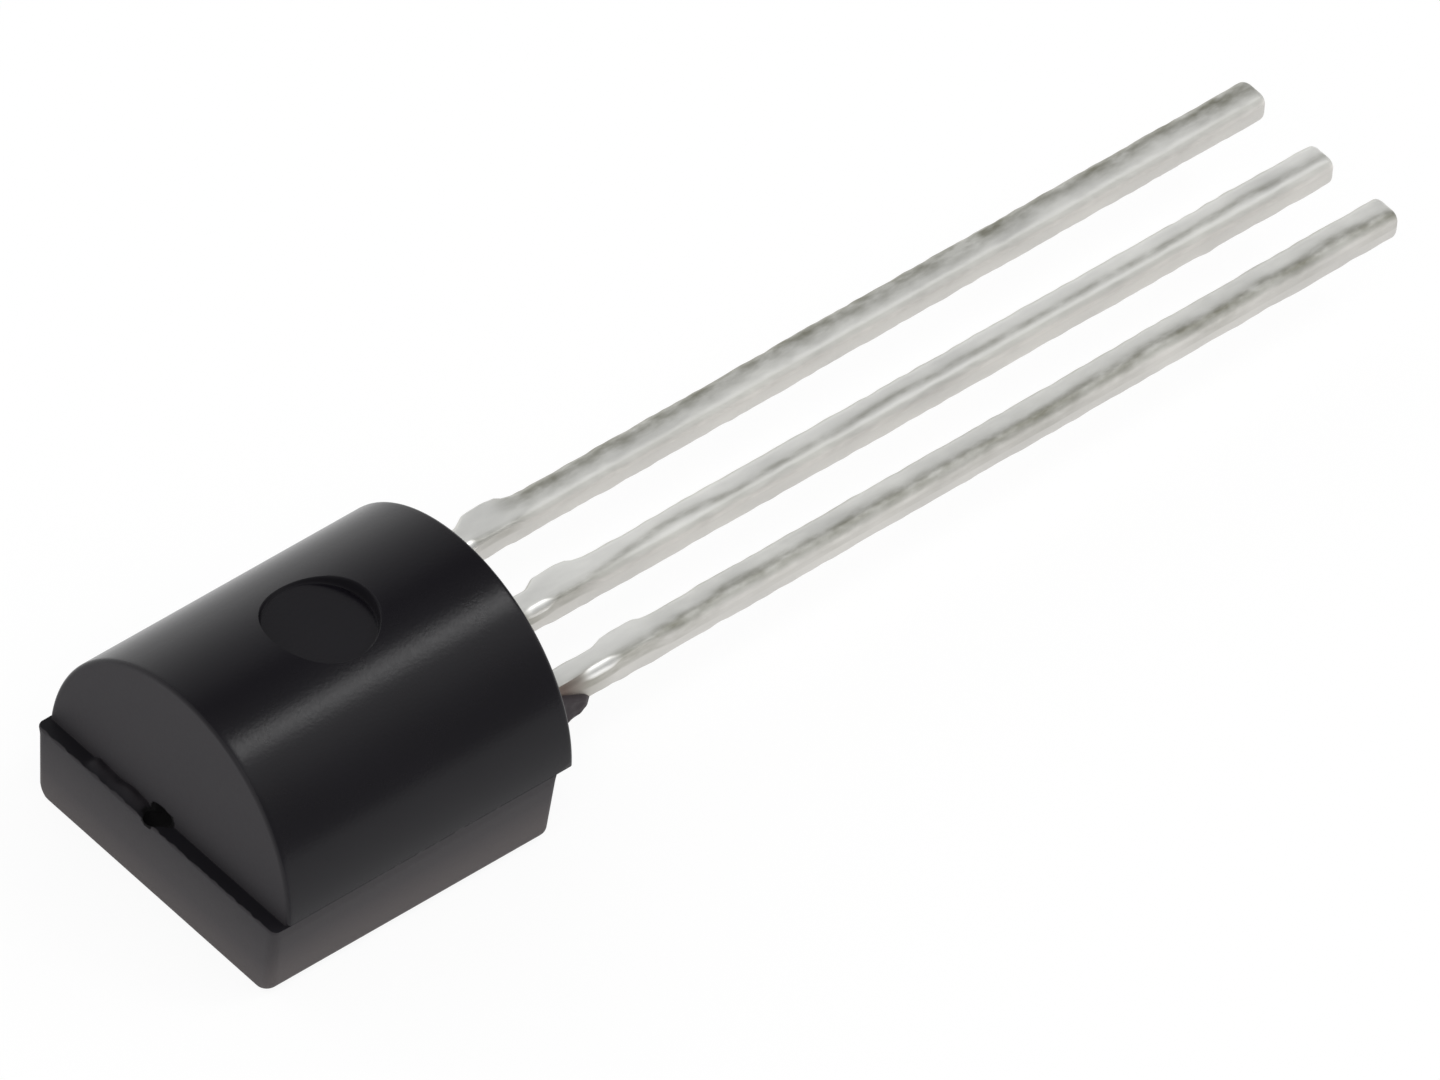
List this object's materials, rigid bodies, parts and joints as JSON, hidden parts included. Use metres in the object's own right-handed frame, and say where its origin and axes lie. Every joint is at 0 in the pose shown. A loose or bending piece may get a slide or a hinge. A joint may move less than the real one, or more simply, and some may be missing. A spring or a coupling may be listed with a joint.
{
  "type": "to-92 transistor",
  "caption": "Small transistor in a moulded half-round epoxy body with a flat side and three long straight tinned leads, for soldering through a circuit board.",
  "frame": {"origin": "centre of the flat side, which faces down", "axes": "+X along the leads towards their tips, +Z from the flat side up to the crown of the round side, +Y across the leads"},
  "size_m": [0.0189, 0.0044, 0.0033],
  "materials": {
    "epoxy": "charcoal moulding compound, satin matte",
    "tinned_copper": "hot-dipped tin over copper, uneven satin",
    "silicon": "polished silicon",
    "silver_epoxy": "cured silver-filled adhesive",
    "gold": "bright gold wire"
  },
  "bodies": {
    "root": {"moulded_body": "epoxy", "left_lead": "tinned_copper", "centre_lead": "tinned_copper", "right_lead": "tinned_copper", "silicon_die": "silicon", "die_attach": "silver_epoxy", "left_bond_wire": "gold", "right_bond_wire": "gold"}
  },
  "joints": []
}
